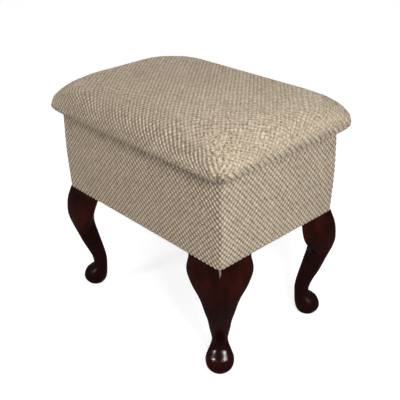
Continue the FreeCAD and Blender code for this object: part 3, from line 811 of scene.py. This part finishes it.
def chenille():
    """Puffy nubs on a diamond lattice, with painted shade in the narrow grooves between them and in the dark
    slits where four meet.
    """
    finish = Finish("chenille", {"Roughness": 0.95, "Specular IOR Level": 0.0, "Sheen Weight": 0.1})
    cloth = finish.node("ShaderNodeUVMap", "UV", {}, uv_map="weave")
    parts = finish.tree.nodes.new("ShaderNodeSeparateXYZ")
    finish.fill(parts.inputs[0], cloth)
    wander = finish.span(finish.noise(cloth, WANDER_SCALE, 3.0), -WANDER, WANDER)
    along = finish.math("ADD", finish.math("DIVIDE", parts.outputs[0], WEAVE[0]), wander)
    across = finish.math("DIVIDE", parts.outputs[1], WEAVE[1])
    rows = [finish.math(operation, along, across) for operation in ("ADD", "SUBTRACT")]
    ridges = [finish.math("ABSOLUTE", finish.math("SINE", finish.math("MULTIPLY", row, pi))) for row in rows]
    grooves = [finish.span(ridge, 1.0, 0.0, GROOVE_WIDTH) for ridge in ridges]
    nub = finish.math("ADD", *[finish.math("POWER", ridge, 2.0) for ridge in ridges])
    groove = finish.math("MAXIMUM", *grooves)
    slit = finish.math("MULTIPLY", *grooves)
    cells = [finish.math("FLOOR", row) for row in rows]
    cell = finish.node("ShaderNodeCombineXYZ", 0, {0: cells[0], 1: cells[1]})
    tint = finish.node("ShaderNodeTexWhiteNoise", "Value", {"Vector": cell}, noise_dimensions="3D")
    fuzz = finish.noise(cloth, FUZZ_SCALE, 4.0)
    patch = finish.noise(cloth, PATCH_SCALE)
    light = finish.mix(finish.math("MULTIPLY", finish.math("ADD", tint, patch), 0.5), NUB_DARK, NUB_PALE)
    light = finish.mix(finish.span(fuzz, 0.0, 0.5), light, NUB_SHADE)
    facing = finish.tree.nodes.new("ShaderNodeSeparateXYZ")
    finish.fill(facing.inputs[0], finish.node("ShaderNodeTexCoord", "Normal", {}))
    rubbed, tuck_and_seam_shade = (
        finish.node("ShaderNodeAttribute", "Fac", {}, attribute_name=name) for name in ("rubbed", "tuck_and_seam_shade")
    )
    # Painted shade in the grooves and slits between the nubs, deeper on upright cloth than on level cloth
    uneven = finish.span(finish.noise(cloth, UNEVEN_SCALE), *GROOVE_UNEVEN, 0.8, 0.2)
    depth = finish.span(facing.outputs[2], *GROOVE_DEPTH)
    depth = finish.math("MULTIPLY", depth, finish.span(rubbed, 1.0, RUBBED_GROOVE))
    depth = finish.math("MULTIPLY", depth, uneven)
    shade = finish.mix(finish.math("MULTIPLY", groove, depth), light, GROOVE_SHADE)
    shade = finish.mix(finish.math("MULTIPLY", slit, depth), shade, SLIT_SHADE)
    # Painted shadow on one side of each nub, strongest on the front and the back
    side_wave = finish.math("SINE", finish.math("MULTIPLY", rows[0], 2 * pi))
    side_shadow = finish.span(side_wave, 0.0, NUB_SIDE_SHADOW, 1.0, -1.0)
    side_shadow = finish.math("MULTIPLY", side_shadow, finish.math("ABSOLUTE", facing.outputs[1]))
    shade = finish.mix(side_shadow, shade, GROOVE_SHADE)
    speck = finish.span(finish.noise(finish.place(), SPECK_SCALE, 3.0), 1.0, 0.0, 0.55, 0.3)
    specks = finish.span(facing.outputs[2], *SPECKS)
    specks = finish.math("ADD", specks, finish.math("MULTIPLY", rubbed, RUBBED_SPECKS))
    shade = finish.mix(finish.math("MULTIPLY", speck, specks), shade, GROOVE_SHADE)
    # Painted shade in the tucks and along the lid's seam
    shade = finish.mix(finish.math("MULTIPLY", tuck_and_seam_shade, TUCK_SHADE), shade, SLIT_SHADE)
    # Painted shade in the creases of the gathers
    painted_gather_lines = finish.math("MULTIPLY", gathers(finish, facing), GATHER_SHADE)
    finish.colour(finish.mix(painted_gather_lines, shade, SLIT_SHADE))
    nub = finish.math("MULTIPLY", nub, finish.span(rubbed, 1.0, RUBBED_NUB))
    nub = finish.math("SUBTRACT", nub, finish.math("MULTIPLY", speck, specks))
    finish.bump(finish.math("ADD", nub, finish.math("MULTIPLY", fuzz, 0.5)), CLOTH_BUMP)
    return finish.material


def mahogany():
    """Dark stain under gloss lacquer, with faint grain, red patches of stain and painted sheen, and blackest
    at the ankle.
    """
    sockets = {"Roughness": 0.5, "Specular IOR Level": 0.0, "Coat Weight": 0.045, "Coat Roughness": 0.2}
    finish = Finish("mahogany", sockets)
    stretched = finish.node("ShaderNodeMapping", 0, {"Vector": finish.place(), "Scale": LEG_GRAIN})
    grain = finish.noise(stretched, 1.0, 6.0)
    spot = finish.tree.nodes.new("ShaderNodeSeparateXYZ")
    finish.fill(spot.inputs[0], finish.place())
    above = finish.span(spot.outputs[2], 0.0, 1.0, ANKLE[2], ANKLE[1])
    below = finish.span(spot.outputs[2], 1.0, 0.0, ANKLE[1], ANKLE[0])
    # Red patches of stain and painted reddish sheen on the knees and feet, none at the ankle
    patch = finish.span(finish.noise(finish.place(), STAIN_AND_SHEEN_PATCHES), 0.0, 1.0, 0.68, 0.42)
    red = finish.math("MULTIPLY", patch, finish.math("MAXIMUM", above, below))
    stain = finish.mix(red, STAIN_DARK, RED_STAIN_AND_SHEEN)
    finish.colour(finish.mix(grain, STAIN_GRAIN, stain))
    finish.bump(finish.noise(stretched, 4.0, 3.0), LEG_BUMP)
    return finish.material


def woven(name, upright, thread, pale, dark, bump):
    """Plain weave of crossing threads on upright or level boards."""
    finish = Finish(name, {"Roughness": 0.9, "Specular IOR Level": 0.15, "Sheen Weight": 0.1})
    parts = finish.tree.nodes.new("ShaderNodeSeparateXYZ")
    finish.fill(parts.inputs[0], finish.place())
    x, y, z = parts.outputs
    along = finish.math("ADD", x, y) if upright else x
    threads = []
    for way in (along, z if upright else y):
        threads.append(finish.math("SINE", finish.math("MULTIPLY", way, 2 * pi / thread)))
    over = finish.span(finish.math("MULTIPLY", *threads), 0.0, 1.0, 1.0, -1.0)
    slub = finish.noise(finish.place(), SLUB_SCALE, 5.0)
    finish.colour(finish.mix(finish.math("MULTIPLY", over, slub), dark, pale))
    finish.bump(finish.math("ADD", over, slub), bump)
    return finish.material


def plywood():
    """Bare birch ply, with long grain and darker flecks."""
    finish = Finish("plywood", {"Roughness": 0.7, "Specular IOR Level": 0.3})
    stretched = finish.node("ShaderNodeMapping", 0, {"Vector": finish.place(), "Scale": PLY_GRAIN})
    grain = finish.noise(stretched, 1.0, 6.0)
    pale, dark = PLY_COLOURS
    finish.colour(finish.mix(grain, dark, pale))
    finish.bump(grain, PLY_BUMP)
    return finish.material


def plated(name, pale, dark):
    """Bright plating on pressed steel, slightly uneven and brushed along the part."""
    finish = Finish(name, {"Metallic": 1.0, "Roughness": 0.3})
    stretched = finish.node("ShaderNodeMapping", 0, {"Vector": finish.place(), "Scale": BRUSHING})
    brushed = finish.noise(stretched, 1.0, 3.0)
    finish.colour(finish.mix(finish.noise(finish.place(), PLATING_CLOUDS, 4.0), pale, dark))
    finish.fill(finish.surface.inputs["Roughness"], finish.span(brushed, *PLATING_ROUGHNESS))
    finish.bump(brushed, PLATING_BUMP)
    return finish.material


def place_camera():
    azimuth, elevation, roll = (radians(x) for x in (CAMERA_AZIMUTH, CAMERA_ELEVATION, CAMERA_ROLL))
    back = Vector((sin(azimuth) * cos(elevation), -cos(azimuth) * cos(elevation), sin(elevation)))
    level = (-back).cross(Vector((0, 0, 1))).normalized()
    upright = level.cross(-back)
    right = level * cos(roll) + upright * sin(roll)
    up = upright * cos(roll) - level * sin(roll)
    lens = bpy.data.cameras.new("camera")
    lens.lens = CAMERA_LENS
    lens.sensor_width = CAMERA_SENSOR
    camera = bpy.data.objects.new("camera", lens)
    turned = Matrix((right, up, back)).transposed().to_4x4()
    camera.matrix_world = Matrix.Translation(CAMERA_TARGET + back * CAMERA_DISTANCE) @ turned
    bpy.context.scene.collection.objects.link(camera)
    bpy.context.scene.camera = camera


def softbox(name, place, aim, width, height, power):
    lamp = bpy.data.lights.new(name, "AREA")
    lamp.shape = "RECTANGLE"
    lamp.size = width
    lamp.size_y = height
    lamp.energy = power
    thing = bpy.data.objects.new(name, lamp)
    thing.location = place
    thing.rotation_euler = (Vector(aim) - Vector(place)).to_track_quat("-Z", "Y").to_euler()
    bpy.context.scene.collection.objects.link(thing)
    return thing


def seen_rays(tree):
    """One for rays that show the background: from the camera, a reflection or through glass."""
    path = tree.nodes.new("ShaderNodeLightPath")
    total = path.outputs["Is Camera Ray"]
    for ray in ("Is Glossy Ray", "Is Transmission Ray"):
        either = tree.nodes.new("ShaderNodeMath")
        either.operation = "MAXIMUM"
        tree.links.new(total, either.inputs[0])
        tree.links.new(path.outputs[ray], either.inputs[1])
        total = either.outputs[0]
    return total


def make_studio():
    """White floor and surroundings, with small lamps to the right and the left of the camera."""
    scene = bpy.context.scene
    scene.view_settings.view_transform = "Standard"
    world = bpy.data.worlds.new("studio")
    world.use_nodes = True
    scene.world = world
    tree = world.node_tree
    strength = tree.nodes.new("ShaderNodeMapRange")
    strength.inputs["To Min"].default_value = WORLD_LIGHT
    strength.inputs["To Max"].default_value = 1.0
    tree.links.new(seen_rays(tree), strength.inputs["Value"])
    background = tree.nodes["Background"]
    background.inputs["Color"].default_value = (1, 1, 1, 1)
    tree.links.new(strength.outputs["Result"], background.inputs["Strength"])
    for lamp in LAMPS:
        softbox(*lamp)
    for lamp in GLINTS:
        softbox(*lamp).visible_diffuse = False
    bpy.ops.mesh.primitive_plane_add(size=FLOOR_SIZE)
    floor = bpy.context.object
    floor.name = "floor"
    surface = Finish("floor", {"Base Color": FLOOR_COLOUR, "Roughness": 0.9, "Specular IOR Level": 0.0})
    surface.surface.inputs["Emission Color"].default_value = (1, 1, 1, 1)
    glow = surface.math("MULTIPLY", seen_rays(surface.tree), FLOOR_GLOW)
    surface.fill(surface.surface.inputs["Emission Strength"], glow)
    floor.data.materials.append(surface.material)


def dress(piece, material, body, slot, *nodes):
    """Gives a new piece its material, the body that it moves with and the nodes that it stands for."""
    piece.data.materials.clear()
    piece.data.materials.append(material)
    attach(piece, body)
    if nodes:
        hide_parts(*nodes)


place_camera()
make_studio()

fabric = chenille()
cushion = make_lid_cushion()
dress(cushion, fabric, "lid", "cover_fabric", "lid_cover", "lid_foam")

wrap = make_box_wrap()
dress(wrap, fabric, "box", "cover_fabric", "box_cover")

dress(make_cloth_tip(), fabric, "box", "cover_fabric")

dust = make_dust_sheet()
spun = woven("spun_cloth", False, SPUN_THREAD, *SPUN_COLOURS, SPUN_BUMP)
dress(dust, spun, "box", "dust_cloth", "dust_cover")

zinc = plated("zinc_plating", *ZINC_COLOURS)
dress(make_staples(), zinc, "box", "zinc_plated_steel")

NODE_FINISHES = {
    "leg_wood": mahogany(),
    "plywood": plywood(),
    "brass_plated_steel": plated("brass_plating", *BRASS_COLOURS),
    "zinc_plated_steel": zinc,
    "lining_cloth": woven("upright_lining", True, LINING_THREAD, *LINING_COLOURS, LINING_BUMP),
}
level_lining = woven("level_lining", False, LINING_THREAD, *LINING_COLOURS, LINING_BUMP)
for row in frame["record"]["subparts"]:
    if row["material_slot"] in NODE_FINISHES:
        material = NODE_FINISHES[row["material_slot"]]
        if row["node"] in ("base_lining", "lid_lining"):
            material = level_lining
        node = frame["nodes"][row["node"]]
        node.data.materials.clear()
        node.data.materials.append(material)
